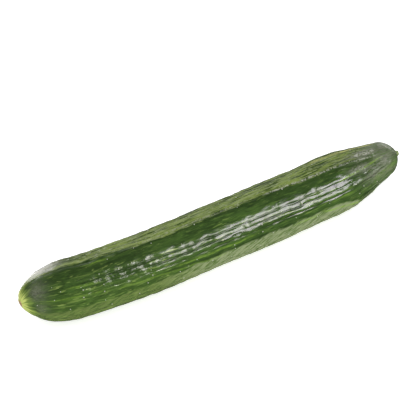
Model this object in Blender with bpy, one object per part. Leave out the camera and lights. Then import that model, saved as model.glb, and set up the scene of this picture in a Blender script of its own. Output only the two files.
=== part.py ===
"""A long greenhouse cucumber lying on its side, with the short cut stub of its stem.

The blossom end points to -X and the stem end to +X. The fruit bows towards -Y as it lies, and rests on a
small flat along its underside at z = 0. Lengths are in metres, and angles round the fruit are in degrees
from its top, growing towards -Y.
"""

import math

import bmesh
import bpy
from mathutils import Vector, noise

# Driving dimensions of the fruit
LENGTH = 0.315
GIRTH_RADIUS = 0.0233
BLOSSOM_CAP = 0.041
SHOULDER_CAP = 0.0115

# How the neck narrows: distance from the stem end, and the radius before the end is rounded off
NECK = [
    (0.000, 0.0114),
    (0.010, 0.0137),
    (0.025, 0.0170),
    (0.038, 0.0200),
    (0.051, 0.0225),
    (0.064, GIRTH_RADIUS),
    (0.080, GIRTH_RADIUS),
]

# How far the middle line bows sideways, at stations from the blossom tip
BOW = [
    (0.000, 0.0020),
    (0.004, 0.0015),
    (0.012, 0.0020),
    (0.030, 0.0067),
    (0.060, 0.0110),
    (0.110, 0.0128),
    (0.170, 0.0114),
    (0.230, 0.0090),
    (0.270, 0.0056),
    (0.300, 0.0012),
    (0.315, -0.0006),
]

# Places the origin under the middle of the object's bounding box
BLOSSOM_TIP_X = -0.15849
CHORD_Y = 0.01047

# The ribs: the angle of each crest, how high it stands in millimetres, and the depth of the furrow
# after it as a share of the ribs' height
RIBS = [
    (1, 0.50, 0.60), (16, 0.60, 0.30), (43, 0.95, 0.75), (54, 0.75, 0.75), (64, 0.85, 0.70),
    (76, 0.45, 0.50), (90, 0.70, 0.60), (107, 0.80, 0.75), (125, 0.90, 0.75), (143, 0.65, 0.75),
    (158, 0.80, 0.75), (174, 0.60, 0.75), (189, 0.60, 0.75), (204, 0.85, 0.80), (221, 0.70, 0.75),
    (236, 0.95, 0.80), (250, 0.70, 0.70), (266, 0.90, 0.80), (281, 0.65, 0.75), (298, 1.00, 0.80),
    (312, 0.75, 0.70), (328, 0.90, 0.75), (346, 0.80, 0.60),
]
RIB_TWIST = 10.0
COLUMNS_A_RIB = 4

# Each rib wanders sideways by some degrees, and swells and shrinks along its length
RIB_WANDER = 2.4
RIB_WANDER_LENGTH = 0.050
RIB_SWELL_MEAN = 0.75
RIB_SWELL_SPREAD = 0.60
RIB_SWELL_LENGTH = 0.022
ROW_APART = 3.7

# The ribs have broad tops, with a narrow furrow between each and the next, whose depth changes
# along it
FURROW_SPREAD = 0.45
FURROW_LENGTH = 0.028
FURROW_NARROWNESS = 2.6

# The share of their height that the ribs keep at either end, and the length over which they rise from it
BLOSSOM_RIB_SHARE = 0.25
BLOSSOM_RIB_RISE = 0.045
NECK_RIB_SHARE = 0.15
NECK_RIB_RISE = 0.050

# The rounded three-sided section that three seed chambers give the fruit, and its slow lumps
LOBES = 3
LOBE_HEIGHT = 0.00035
LOBE_CREST = 83.0
LUMP_HEIGHT = 0.0007
LUMP_LENGTH = 0.042
LUMP_TURNS = 1.3

# The flat that it rests on
FOOT_DEPTH = 0.00040
FOOT_SMOOTH_ANGLE = 30.0
UNDERSIDE = 180.0

# Rings of vertices along the fruit
BLOSSOM_RINGS = 9
BODY_RING_SPACING = 0.0069
SHOULDER_RINGS = 5

# The corky scar that the flower leaves on the blossom tip: radius, and depth below the rounded tip
SCAR = [
    (0.0012, 0.00050),
    (0.0021, 0.00045),
    (0.0027, 0.00010),
    (0.0033, -0.00010),
    (0.0041, 0.00000),
]

# The socket at the stem end, and the gap that keeps the two pieces apart
SOCKET_DEPTH = 0.0016
SOCKET_LIP = 0.0009
GAP = 0.0003

# The stub of the stem: five soft ribs, a lean down and outwards, and a slanting cut
STEM_RADIUS = 0.0022
STEM_FLARE = 0.0005
STEM_RIBS = 5
STEM_RIB_HEIGHT = 0.00024
STEM_UPWARD_LEAN = -0.30
STEM_OUTWARD_LEAN = 0.35
STEM_CUT_SLOPE = 0.25
STEM_STANDS_OUT = 0.0022
STEM_SEGMENTS = 30

# The stub's outline: height above its foot, share of its radius, of its flare and of its ribs
STEM_OUTLINE = [
    (0.0000, 0.90, 0.00, 0.0),
    (0.0004, 0.97, 0.00, 0.0),
    (0.0012, 0.98, 0.35, 0.4),
    (0.0016, 1.00, 0.75, 0.8),
    (0.0021, 1.00, 0.30, 1.0),
    (0.0026, 1.00, 0.00, 1.0),
    (0.0030, 1.02, 0.00, 1.0),
    (0.0033, 1.02, 0.00, 1.0),
    (0.0035, 0.94, 0.00, 0.9),
    (0.0034, 0.55, 0.00, 0.5),
    (0.0031, 0.30, 0.00, 0.0),
]

MM = 0.001
UP = Vector((0.0, 0.0, 1.0))


def clear_scene():
    for thing in list(bpy.data.objects):
        bpy.data.objects.remove(thing)


def skin(name, colour, roughness):
    """A plain material in the piece's own colour."""
    material = bpy.data.materials.new(name)
    material.use_nodes = True
    shader = material.node_tree.nodes["Principled BSDF"]
    shader.inputs["Base Color"].default_value = (*colour, 1.0)
    shader.inputs["Roughness"].default_value = roughness
    shader.inputs["Metallic"].default_value = 0.0
    return material


def smoothstep(x):
    x = min(max(x, 0.0), 1.0)
    return x * x * (3.0 - 2.0 * x)


def through(points, x):
    """The height at x of a smooth curve through the points."""
    last = len(points) - 1
    i = max(k for k in range(last) if points[k][0] <= max(x, points[0][0]))
    (x0, y0), (x1, y1) = points[i], points[i + 1]
    before, after = points[max(i - 1, 0)], points[min(i + 2, last)]
    slope0 = (y1 - before[1]) / (x1 - before[0])
    slope1 = (after[1] - y0) / (after[0] - x0)
    span = x1 - x0
    t = (x - x0) / span
    return (
        (2 * t**3 - 3 * t**2 + 1) * y0
        + (t**3 - 2 * t**2 + t) * span * slope0
        + (3 * t**2 - 2 * t**3) * y1
        + (t**3 - t**2) * span * slope1
    )


def cap(distance, depth):
    """The share of the full radius at a distance behind a rounded end of that depth."""
    if distance >= depth:
        return 1.0
    return math.sqrt(max(0.0, 1.0 - (1.0 - distance / depth) ** 2))


def radius(s):
    """The fruit's mean radius at station s, measured from the blossom tip."""
    from_stem = LENGTH - s
    neck = through(NECK, min(max(from_stem, 0.0), NECK[-1][0]))
    return neck * cap(s, BLOSSOM_CAP) * cap(from_stem, SHOULDER_CAP)


def middle_line(s):
    """The centre of the section at station s, with its directions along and out towards -Y."""
    inside = min(max(s, 0.0), LENGTH)
    step = 0.002
    slope = (through(BOW, min(inside + step, LENGTH)) - through(BOW, max(inside - step, 0.0))) / (
        min(inside + step, LENGTH) - max(inside - step, 0.0)
    )
    along = Vector((1.0, -slope, 0.0)).normalized()
    outward = Vector((along.y, -along.x, 0.0))
    centre = Vector((BLOSSOM_TIP_X + inside, CHORD_Y - through(BOW, inside), GIRTH_RADIUS - FOOT_DEPTH))
    return centre + along * (s - inside), along, outward


def crest_angle(k, s):
    """The angle of rib k at station s: the ribs twist slowly and wander a little."""
    wander = noise.noise(Vector((s / RIB_WANDER_LENGTH, ROW_APART * k, 0.5)))
    return RIBS[k][0] + RIB_TWIST * (s / LENGTH - 0.5) + RIB_WANDER * wander


def turn_between(a, b):
    """The smallest angle from b to a."""
    return (a - b + 180.0) % 360.0 - 180.0


def rib_height(k, s):
    """How high rib k stands at station s, in metres: it swells along its length and is low at both ends."""
    ripple = noise.noise(Vector((s / RIB_SWELL_LENGTH, ROW_APART * k, 9.5)))
    blossom = BLOSSOM_RIB_SHARE + (1.0 - BLOSSOM_RIB_SHARE) * smoothstep(s / BLOSSOM_RIB_RISE)
    neck = NECK_RIB_SHARE + (1.0 - NECK_RIB_SHARE) * smoothstep((LENGTH - s) / NECK_RIB_RISE)
    return RIBS[k][1] * MM * (RIB_SWELL_MEAN + RIB_SWELL_SPREAD * ripple) * blossom * neck


def furrow_depth(k, s):
    """The depth of the furrow after rib k at station s, as a share of the ribs' height."""
    return RIBS[k][2] + FURROW_SPREAD * noise.noise(Vector((s / FURROW_LENGTH, ROW_APART * k, 15.5)))


def ribs(s, k, share):
    """The ribs' height at a share of the way from the crest of rib k to the crest of the next."""
    over = smoothstep(share)
    top = (1.0 - over) * rib_height(k, s) + over * rib_height((k + 1) % len(RIBS), s)
    into_furrow = (1.0 - abs(2.0 * share - 1.0)) ** FURROW_NARROWNESS
    return top * (1.0 - furrow_depth(k, s) * into_furrow)


def relief(s, k, share, angle):
    """How far the skin stands out from the mean radius, in metres."""
    turn = math.radians(angle)
    lump = noise.noise(Vector((s / LUMP_LENGTH, LUMP_TURNS * math.cos(turn), LUMP_TURNS * math.sin(turn))))
    lobe = math.cos(LOBES * math.radians(angle - LOBE_CREST))
    girth = radius(s) / GIRTH_RADIUS
    calm = smoothstep(abs(turn_between(angle, UNDERSIDE)) / FOOT_SMOOTH_ANGLE)
    return calm * (ribs(s, k, share) + girth * (LUMP_HEIGHT * lump + LOBE_HEIGHT * lobe))


def skin_point(s, angle, mean_radius, lift):
    """A point of the skin, flattened where it meets the surface that the fruit lies on."""
    centre, _, outward = middle_line(s)
    turn = math.radians(angle)
    point = centre + (mean_radius + lift) * (math.cos(turn) * UP + math.sin(turn) * outward)
    point.z = max(point.z, 0.0)
    return point


def columns(s):
    """The mesh's columns at station s: the rib before, the share of the way to the next, and the angle.

    They lie on each crest, in each furrow and on the flanks.
    """
    places = []
    for k in range(len(RIBS)):
        here = crest_angle(k, s)
        width = (crest_angle((k + 1) % len(RIBS), s) - here) % 360.0
        for i in range(COLUMNS_A_RIB):
            share = i / COLUMNS_A_RIB
            places.append((k, share, here + width * share))
    return places


def lip_station():
    """The station of the socket's lip, where the rounded end meets the socket."""
    lip_radius = STEM_RADIUS + STEM_FLARE + GAP + SOCKET_LIP
    return LENGTH - SHOULDER_CAP * (1.0 - math.sqrt(1.0 - (lip_radius / NECK[0][1]) ** 2))


def meridian():
    """The rings from the blossom tip to the floor of the socket: station, mean radius, share of relief."""
    rings = []
    for scar_radius, depth in SCAR:
        s = BLOSSOM_CAP * (1.0 - math.sqrt(1.0 - (scar_radius / GIRTH_RADIUS) ** 2))
        rings.append((s + depth, scar_radius, 0.0))
    scar_swing = math.degrees(math.asin(SCAR[-1][0] / GIRTH_RADIUS))
    for i in range(1, BLOSSOM_RINGS + 1):
        share = i / BLOSSOM_RINGS
        s = BLOSSOM_CAP * (1.0 - math.cos(math.radians(scar_swing + (90.0 - scar_swing) * share)))
        rings.append((s, radius(s), smoothstep(2.0 * share)))
    body_end = LENGTH - SHOULDER_CAP
    count = round((body_end - BLOSSOM_CAP) / BODY_RING_SPACING)
    for i in range(1, count + 1):
        s = BLOSSOM_CAP + (body_end - BLOSSOM_CAP) * i / count
        rings.append((s, radius(s), 1.0))
    for i in range(1, SHOULDER_RINGS + 1):
        share = i / SHOULDER_RINGS
        s = body_end + (lip_station() - body_end) * math.sin(math.radians(90.0 * share))
        rings.append((s, radius(s), 1.0 - share))
    mouth = STEM_RADIUS + STEM_FLARE + GAP
    rings.append((lip_station() - 0.3 * SOCKET_DEPTH, mouth, 0.0))
    rings.append((lip_station() - SOCKET_DEPTH, mouth, 0.0))
    return rings


def ring_edges(bm, vertices):
    """The edges that join the ring's vertices."""
    ring = set(vertices)
    return [edge for edge in bm.edges if edge.verts[0] in ring and edge.verts[1] in ring]


def loft(name, rings, material):
    """A closed solid drawn out ring by ring, with a flat face across its first and last ring."""
    bm = bmesh.new()
    made = bmesh.ops.create_circle(bm, cap_ends=True, segments=len(rings[0]), radius=1.0)
    ring = made["verts"]
    edges = ring_edges(bm, ring)
    for vertex, place in zip(ring, rings[0]):
        vertex.co = place
    for places in rings[1:]:
        grown = bmesh.ops.extrude_edge_only(bm, edges=edges)["geom"]
        edges = [item for item in grown if isinstance(item, bmesh.types.BMEdge)]
        new = {item for item in grown if isinstance(item, bmesh.types.BMVert)}
        # Each new vertex takes its place by the old one that it grew from.
        following = []
        for old in ring:
            following += [edge.other_vert(old) for edge in old.link_edges if edge.other_vert(old) in new]
        ring = following
        edges = [edge for edge in edges if edge.verts[0] in new and edge.verts[1] in new]
        for vertex, place in zip(ring, places):
            vertex.co = place
    bmesh.ops.contextual_create(bm, geom=edges)
    bmesh.ops.recalc_face_normals(bm, faces=bm.faces)
    mesh = bpy.data.meshes.new(name)
    bm.to_mesh(mesh)
    bm.free()
    mesh.shade_smooth()
    mesh.set_sharp_from_angle(angle=math.radians(50.0))
    mesh.materials.append(material)
    thing = bpy.data.objects.new(name, mesh)
    bpy.context.scene.collection.objects.link(thing)
    return thing


def make_fruit():
    rings = []
    for s, mean_radius, strength in meridian():
        ring = []
        for k, share, angle in columns(s):
            ring.append(skin_point(s, angle, mean_radius, strength * relief(s, k, share, angle)))
        rings.append(ring)
    return loft("fruit", rings, skin("cucumber_skin", (0.045, 0.105, 0.022), 0.32))


def make_stem():
    """The stub stands in the socket, with its foot a gap above the socket's floor."""
    foot, along, outward = middle_line(lip_station() - SOCKET_DEPTH + GAP)
    lean = STEM_UPWARD_LEAN * UP + STEM_OUTWARD_LEAN * outward
    mouth_height = SOCKET_DEPTH - GAP
    rings = []
    for height, share, flare, ribbed in STEM_OUTLINE:
        slope = STEM_CUT_SLOPE * smoothstep((height - mouth_height) / STEM_STANDS_OUT)
        ring = []
        for i in range(STEM_SEGMENTS):
            turn = 2.0 * math.pi * i / STEM_SEGMENTS
            rib = STEM_RIB_HEIGHT * ribbed * math.cos(STEM_RIBS * turn)
            out = STEM_RADIUS * share + STEM_FLARE * flare + rib
            upward, sideways = out * math.cos(turn), out * math.sin(turn)
            climb = height + slope * upward
            place = foot + upward * UP + sideways * outward + climb * along
            ring.append(place + max(0.0, climb - mouth_height) * lean)
        rings.append(ring)
    return loft("stem", rings, skin("stem_green", (0.330, 0.430, 0.110), 0.55))


def main():
    clear_scene()
    make_fruit()
    make_stem()


main()
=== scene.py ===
import math
import random

import bmesh
import bpy
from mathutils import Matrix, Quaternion, Vector, kdtree, noise


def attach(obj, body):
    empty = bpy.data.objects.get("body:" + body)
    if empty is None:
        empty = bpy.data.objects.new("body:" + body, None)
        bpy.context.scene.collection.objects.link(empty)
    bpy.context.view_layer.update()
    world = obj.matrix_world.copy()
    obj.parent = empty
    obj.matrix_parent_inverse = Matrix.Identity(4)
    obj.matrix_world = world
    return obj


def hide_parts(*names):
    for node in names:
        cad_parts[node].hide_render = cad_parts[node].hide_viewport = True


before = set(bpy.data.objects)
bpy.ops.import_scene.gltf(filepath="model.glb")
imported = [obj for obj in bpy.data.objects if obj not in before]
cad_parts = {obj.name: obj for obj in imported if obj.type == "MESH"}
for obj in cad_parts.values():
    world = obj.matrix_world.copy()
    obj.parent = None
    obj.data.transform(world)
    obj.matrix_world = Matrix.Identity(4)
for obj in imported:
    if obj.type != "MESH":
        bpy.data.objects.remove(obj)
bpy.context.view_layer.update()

# The camera
# It looks down on the cucumber from the front left through a long lens, from far enough off that the two
# ends are drawn at the same scale. It leans a little, so that the stem end climbs to the right.
CAMERA_DISTANCE = 1.6
CAMERA_AIM = Vector((-0.00935, -0.0050, 0.06370))
CAMERA_AZIMUTH = math.radians(-15.0)
CAMERA_ELEVATION = math.radians(38.5)
CAMERA_LEAN = math.radians(11.95)
CAMERA_LENS = 193.5


def toward(azimuth, elevation):
    """The direction that looks back from the cucumber: azimuth 0 is -Y, and 90 degrees is +X."""
    level = math.cos(elevation)
    return Vector((math.sin(azimuth) * level, -math.cos(azimuth) * level, math.sin(elevation)))


camera_data = bpy.data.cameras.new("camera")
camera_data.lens = CAMERA_LENS
camera = bpy.data.objects.new("camera", camera_data)
bpy.context.scene.collection.objects.link(camera)
to_camera = toward(CAMERA_AZIMUTH, CAMERA_ELEVATION)
camera.location = CAMERA_AIM + CAMERA_DISTANCE * to_camera
camera.rotation_mode = "QUATERNION"
camera.rotation_quaternion = to_camera.to_track_quat("Z", "Y") @ Quaternion((0, 0, 1), -CAMERA_LEAN)
bpy.context.scene.camera = camera

# The fruit
# It grew as one piece: a long three-lobed cylinder of flesh in a waxy skin, bowed to one side, with a
# rounded blossom end and a tapering neck. Shallow ribs run from end to end, wander and swell, and the whole
# lies on a narrow flat along its underside.
FRUIT_LENGTH = 0.315
GIRTH_RADIUS = 0.0233
BLOSSOM_CAP = 0.041
SHOULDER_CAP = 0.0115
NECK = [
    (0.000, 0.0114),
    (0.010, 0.0137),
    (0.025, 0.0170),
    (0.038, 0.0200),
    (0.051, 0.0225),
    (0.064, GIRTH_RADIUS),
    (0.080, GIRTH_RADIUS),
]
BOW = [
    (0.000, 0.0020),
    (0.004, 0.0015),
    (0.012, 0.0020),
    (0.030, 0.0067),
    (0.060, 0.0110),
    (0.110, 0.0128),
    (0.170, 0.0114),
    (0.230, 0.0090),
    (0.270, 0.0056),
    (0.300, 0.0012),
    (0.315, -0.0006),
]
BLOSSOM_TIP_X = -0.15849
CHORD_Y = 0.01047

# Each rib: the angle of its crest in degrees from the top towards -Y, its height in millimetres, and the
# depth of the furrow after it as a share of the ribs' height
RIBS = [
    (1, 0.50, 0.60), (16, 0.60, 0.30), (43, 0.95, 0.75), (54, 0.75, 0.75), (64, 0.85, 0.70),
    (76, 0.45, 0.50), (90, 0.70, 0.60), (107, 0.80, 0.75), (125, 0.90, 0.75), (143, 0.65, 0.75),
    (158, 0.80, 0.75), (174, 0.60, 0.75), (189, 0.60, 0.75), (204, 0.85, 0.80), (221, 0.70, 0.75),
    (236, 0.95, 0.80), (250, 0.70, 0.70), (266, 0.90, 0.80), (281, 0.65, 0.75), (298, 1.00, 0.80),
    (312, 0.75, 0.70), (328, 0.90, 0.75), (346, 0.80, 0.60),
]
RIB_TWIST = 10.0
RIB_WANDER = 2.4
RIB_WANDER_LENGTH = 0.050
RIB_SWELL_MEAN = 0.75
RIB_SWELL_SPREAD = 0.60
RIB_SWELL_LENGTH = 0.022
FURROW_SPREAD = 0.45
FURROW_LENGTH = 0.028
FURROW_NARROWNESS = 2.6
BLOSSOM_RIB_SHARE = 0.25
BLOSSOM_RIB_RISE = 0.045
NECK_RIB_SHARE = 0.15
NECK_RIB_RISE = 0.050
LOBES = 3
LOBE_HEIGHT = 0.00035
LOBE_CREST = 83.0
LUMP_HEIGHT = 0.0007
LUMP_LENGTH = 0.042
LUMP_TURNS = 1.3
FOOT_DEPTH = 0.00040
FOOT_SMOOTH_ANGLE = 30.0
UNDERSIDE = 180.0

# The skin's finer relief: knobs and beads on the ribs, the ribs' weave, fibres along the fruit, wrinkles
# across it and crumples on the neck. It is lower on the blossom end and in the widest gaps between ribs.
KNOB_HEIGHT = 0.00040
KNOB_LENGTH = 0.0070
KNOB_WIDTH = 0.0032
BEAD_HEIGHT = 0.00030
BEAD_LENGTH = 0.0045
WEAVE = 2.4
WEAVE_LENGTH = 0.011
FIBRE_HEIGHT = 0.00014
FIBRE_LENGTH = 0.0080
FIBRE_WIDTH = 0.0024
WRINKLE_HEIGHT = 0.00010
WRINKLE_LENGTH = 0.0024
WRINKLE_WIDTH = 0.0045
CRUMPLE_HEIGHT = 0.00050
CRUMPLE_LENGTH = 0.0075
CRUMPLE_WIDTH = 0.0022
CRUMPLE_RISE = (0.235, 0.262)
CRUMPLE_FALL = (0.306, 0.292)
BLOSSOM_FINE_SHARE = 0.45
BLOSSOM_FINE_RISE = (0.022, 0.055)
FINE_LIMIT = 0.00045
FINE_SUNK = 0.00036
SMOOTH_GAP = (18.0, 26.0)
SMOOTH_SHARE = 0.8
FINE_COLUMNS_A_RIB = 12
FINE_SPACING = 0.00096

# The noise along the ribs: how far apart the ribs' rows lie in it, and the layer that each use reads
ROW_APART = 3.7
WANDER_LAYER = 0.5
SWELL_LAYER = 9.5
FURROW_LAYER = 15.5
BEAD_LAYER = 20.5
WEAVE_LAYER = 26.5

# The scar that the flower left, as radius and depth, and the socket that the stem grows from
SCAR = [
    (0.0000, 0.00060),
    (0.0012, 0.00050),
    (0.0021, 0.00045),
    (0.0027, 0.00010),
    (0.0033, -0.00010),
    (0.0041, 0.00000),
]
SCAR_RINGS = 12
SCAR_RIM = 0.0022
SCAR_FADE = 0.0012
BLOSSOM_RELIEF_RISE = 2.0
SOCKET_MOUTH = 0.0030
SOCKET_LIP = 0.0009
SOCKET_DEPTH = 0.0016
LIP_TURNS = (30, 60, 90)
LIP_FLATNESS = 0.5
SOCKET_WALL_SHARE = 0.7
SOCKET_FLOOR_SHARE = 0.9

MM = 0.001
UP = Vector((0.0, 0.0, 1.0))


def smoothstep(x):
    x = min(max(x, 0.0), 1.0)
    return x * x * (3.0 - 2.0 * x)


def ramp(x, start, end):
    """Goes smoothly from 0 where x is at start to 1 where it is at end."""
    return smoothstep((x - start) / (end - start))


def off_by(angle, middle):
    """How many degrees an angle is past the middle one, from -180 to 180."""
    return (angle - middle + 180.0) % 360.0 - 180.0


def through(points, x):
    """The height at x of a smooth curve through the points."""
    last = len(points) - 1
    i = max(k for k in range(last) if points[k][0] <= max(x, points[0][0]))
    (x0, y0), (x1, y1) = points[i], points[i + 1]
    before, after = points[max(i - 1, 0)], points[min(i + 2, last)]
    slope0 = (y1 - before[1]) / (x1 - before[0])
    slope1 = (after[1] - y0) / (after[0] - x0)
    span = x1 - x0
    t = (x - x0) / span
    return (
        (2 * t**3 - 3 * t**2 + 1) * y0
        + (t**3 - 2 * t**2 + t) * span * slope0
        + (3 * t**2 - 2 * t**3) * y1
        + (t**3 - t**2) * span * slope1
    )


def cap(distance, depth):
    """The share of the full radius at a distance behind a rounded end of that depth."""
    if distance >= depth:
        return 1.0
    return math.sqrt(max(0.0, 1.0 - (1.0 - distance / depth) ** 2))


def fruit_radius(s):
    """The fruit's mean radius at station s, measured from the blossom tip."""
    from_stem = FRUIT_LENGTH - s
    neck = through(NECK, min(max(from_stem, 0.0), NECK[-1][0]))
    return neck * cap(s, BLOSSOM_CAP) * cap(from_stem, SHOULDER_CAP)


def middle_line(s):
    """The centre of the section at station s, with its directions along and out towards -Y."""
    inside = min(max(s, 0.0), FRUIT_LENGTH)
    low, high = max(inside - 2 * MM, 0.0), min(inside + 2 * MM, FRUIT_LENGTH)
    slope = (through(BOW, high) - through(BOW, low)) / (high - low)
    along = Vector((1.0, -slope, 0.0)).normalized()
    outward = Vector((along.y, -along.x, 0.0))
    centre = Vector((BLOSSOM_TIP_X + inside, CHORD_Y - through(BOW, inside), GIRTH_RADIUS - FOOT_DEPTH))
    return centre + along * (s - inside), along, outward


def along_rib(k, s, length, layer):
    """Noise along rib k at station s, with a feature to every such length."""
    return noise.noise(Vector((s / length, ROW_APART * k, layer)))


def crest_angle(k, s):
    """The angle of rib k at station s: the ribs twist slowly, wander a little and weave."""
    wander = along_rib(k, s, RIB_WANDER_LENGTH, WANDER_LAYER)
    weave = along_rib(k, s, WEAVE_LENGTH, WEAVE_LAYER)
    return RIBS[k][0] + RIB_TWIST * (s / FRUIT_LENGTH - 0.5) + RIB_WANDER * wander + WEAVE * weave


def rib_height(k, s):
    """How high rib k stands at station s, in metres: it swells along its length and is low at both ends."""
    ripple = along_rib(k, s, RIB_SWELL_LENGTH, SWELL_LAYER)
    blossom = BLOSSOM_RIB_SHARE + (1.0 - BLOSSOM_RIB_SHARE) * smoothstep(s / BLOSSOM_RIB_RISE)
    neck = NECK_RIB_SHARE + (1.0 - NECK_RIB_SHARE) * smoothstep((FRUIT_LENGTH - s) / NECK_RIB_RISE)
    return RIBS[k][1] * MM * (RIB_SWELL_MEAN + RIB_SWELL_SPREAD * ripple) * blossom * neck


def furrow_depth(k, s):
    """The depth of the furrow after rib k at station s, as a share of the ribs' height."""
    return RIBS[k][2] + FURROW_SPREAD * along_rib(k, s, FURROW_LENGTH, FURROW_LAYER)


def bead(k, s):
    """How far a bead of rib k stands out at station s, in metres."""
    return BEAD_HEIGHT * along_rib(k, s, BEAD_LENGTH, BEAD_LAYER)


def lip_station():
    """The station of the lip round the stem's socket."""
    mouth_share = (SOCKET_MOUTH + SOCKET_LIP) / NECK[0][1]
    return FRUIT_LENGTH - SHOULDER_CAP * (1.0 - math.sqrt(1.0 - mouth_share**2))


def even_shares(length):
    """The shares of a length at even steps of about the fine spacing, up to the whole."""
    count = round(length / FINE_SPACING)
    return [i / count for i in range(1, count + 1)]


def fruit_rings():
    """The rings from the scar to the socket's floor: station, mean radius and share of relief."""
    rings = []
    for i in range(1, SCAR_RINGS + 1):
        scar_radius = SCAR[-1][0] * i / SCAR_RINGS
        s = BLOSSOM_CAP * (1.0 - math.sqrt(1.0 - (scar_radius / GIRTH_RADIUS) ** 2))
        rings.append((s + through(SCAR, scar_radius), scar_radius, 0.0))
    scar_swing = math.asin(SCAR[-1][0] / GIRTH_RADIUS)
    cap_swing = math.pi / 2 - scar_swing
    for share in even_shares((BLOSSOM_CAP + GIRTH_RADIUS) / 2 * cap_swing):
        s = BLOSSOM_CAP * (1.0 - math.cos(scar_swing + cap_swing * share))
        rings.append((s, fruit_radius(s), smoothstep(BLOSSOM_RELIEF_RISE * share)))
    body_end = FRUIT_LENGTH - SHOULDER_CAP
    for share in even_shares(body_end - BLOSSOM_CAP):
        s = BLOSSOM_CAP + (body_end - BLOSSOM_CAP) * share
        rings.append((s, fruit_radius(s), 1.0))
    lip = lip_station()
    for share in even_shares(SHOULDER_CAP * math.pi / 2):
        s = body_end + (lip - body_end) * math.sin(math.pi / 2 * share)
        rings.append((s, fruit_radius(s), 1.0 - share))
    for turn in LIP_TURNS:
        swing = math.radians(turn)
        inward, down = SOCKET_LIP * math.sin(swing), SOCKET_LIP * (1.0 - math.cos(swing))
        rings.append((lip - LIP_FLATNESS * down, SOCKET_MOUTH + SOCKET_LIP - inward, 0.0))
    rings.append((lip - SOCKET_WALL_SHARE * SOCKET_DEPTH, SOCKET_MOUTH, 0.0))
    rings.append((lip - SOCKET_DEPTH, SOCKET_FLOOR_SHARE * SOCKET_MOUTH, 0.0))
    return rings


def relief_grain(spot, length, width):
    """Noise at a spot of the straightened skin, stretched along the fruit or across it."""
    return noise.noise(Vector((spot.x / length, spot.y / width, spot.z / width)))


def fine_relief(spot):
    """The knobs, fibres, wrinkles and the neck's crumples at a spot of the straightened skin, in metres."""
    knobs = KNOB_HEIGHT * relief_grain(spot, KNOB_LENGTH, KNOB_WIDTH)
    fibres = FIBRE_HEIGHT * relief_grain(spot, FIBRE_LENGTH, FIBRE_WIDTH)
    wrinkles = WRINKLE_HEIGHT * relief_grain(spot, WRINKLE_LENGTH, WRINKLE_WIDTH)
    on_neck = ramp(spot.x, *CRUMPLE_RISE) * ramp(spot.x, *CRUMPLE_FALL)
    crumples = on_neck * CRUMPLE_HEIGHT * relief_grain(spot, CRUMPLE_LENGTH, CRUMPLE_WIDTH)
    return knobs + fibres + crumples + wrinkles


# Lines along stretches of a rib: the rib, the first and last station, how many degrees the line is off the
# crest at the first and at the last, its half width in degrees, and its strength. Some are lime green or
# yellow, some are chains of painted glints, grey-white beads where small wrinkles would catch the light,
# and some are thin dark creases painted with their shade.
LINES = {
    "lime": [
        (4, -0.020, 0.017, 3.0, 3.0, 1.5, 0.5),
        (5, 0.112, 0.184, 1.0, 1.0, 1.5, 0.75),
        (5, 0.240, 0.268, 1.0, 1.0, 1.5, 0.6),
        (3, 0.224, 0.246, -5.0, -5.0, 1.5, 0.8),
        (3, 0.250, 0.302, -5.0, -20.0, 1.7, 1.0),
        (6, 0.208, 0.236, 0.0, 0.0, 1.5, 0.8),
        (6, 0.232, 0.286, -5.0, 30.0, 1.7, 1.0),
        (21, 0.240, 0.304, 13.0, 5.0, 4.0, 1.0),
        (5, 0.278, 0.314, 6.0, -8.0, 9.0, 0.4),
        (21, 0.205, 0.235, 0.0, 0.0, 1.5, 0.5),
        (5, 0.066, 0.160, 3.0, 14.0, 1.5, 0.45),
        (4, 0.012, 0.064, 2.0, 11.0, 1.6, 0.45),
        (1, 0.050, 0.074, 0.0, 0.0, 1.5, 0.8),
        (3, 0.034, 0.060, -3.0, 1.0, 1.8, 0.7),
    ],
    # Painted highlights: chains of glints.
    "glint_chain": [
        (0, 0.196, 0.276, 10.0, 17.0, 1.6, 0.85),
        (0, 0.268, 0.300, 15.0, 25.0, 1.8, 0.75),
        (0, 0.296, 0.318, -57.0, 78.0, 3.0, 0.7),
        (0, 0.090, 0.185, 6.0, 6.0, 1.5, 0.35),
    ],
    # The creases' lines are painted shade.
    "crease_shade": [
        (0, 0.070, 0.280, 14.0, 14.0, 1.5, 0.9),
        (20, 0.150, 0.240, 7.0, 7.0, 1.5, 0.5),
        (2, 0.205, 0.262, 6.5, 6.5, 1.5, 0.6),
        (6, 0.130, 0.215, -6.0, -6.0, 1.5, 0.6),
        (0, 0.256, 0.304, -4.0, 3.0, 1.3, 0.8),
        (1, 0.222, 0.292, 7.0, 13.0, 2.6, 0.6),
        (3, 0.262, 0.300, 8.0, 0.0, 1.4, 0.6),
        (4, 0.262, 0.304, 8.0, -2.0, 1.6, 0.8),
    ],
}
LINE_FADE = 0.010
LINE_REACH = 3.0

# Where a dull grey bloom lies on the skin, and where some of it on the neck is a painted sheen or
# highlight: station, angle, length, width in degrees, and strength
BLOOM_AND_SHEEN = [
    (0.0150, 42.0, 0.0075, 26.0, 0.75),
    (0.0160, 84.0, 0.0060, 12.0, 0.5),
    (0.0250, -22.0, 0.0130, 20.0, 1.3),
    (0.2860, 6.0, 0.0140, 11.0, 1.7),
    (0.3000, 44.0, 0.0090, 20.0, 0.7),
    # Partly painted highlights among the neck's dark dots
    (0.2860, 64.0, 0.0130, 20.0, 0.8),
    # A painted highlight above the neck's yellow-green line, not bloom
    (0.2740, 37.0, 0.0090, 7.0, 1.2),
    (0.3030, -4.0, 0.0090, 26.0, 1.0),
    (0.2700, 200.0, 0.0200, 30.0, 0.8),
    (0.0170, 230.0, 0.0080, 40.0, 0.8),
]
BLOOM_AND_SHEEN_REACH = 2.0


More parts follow.
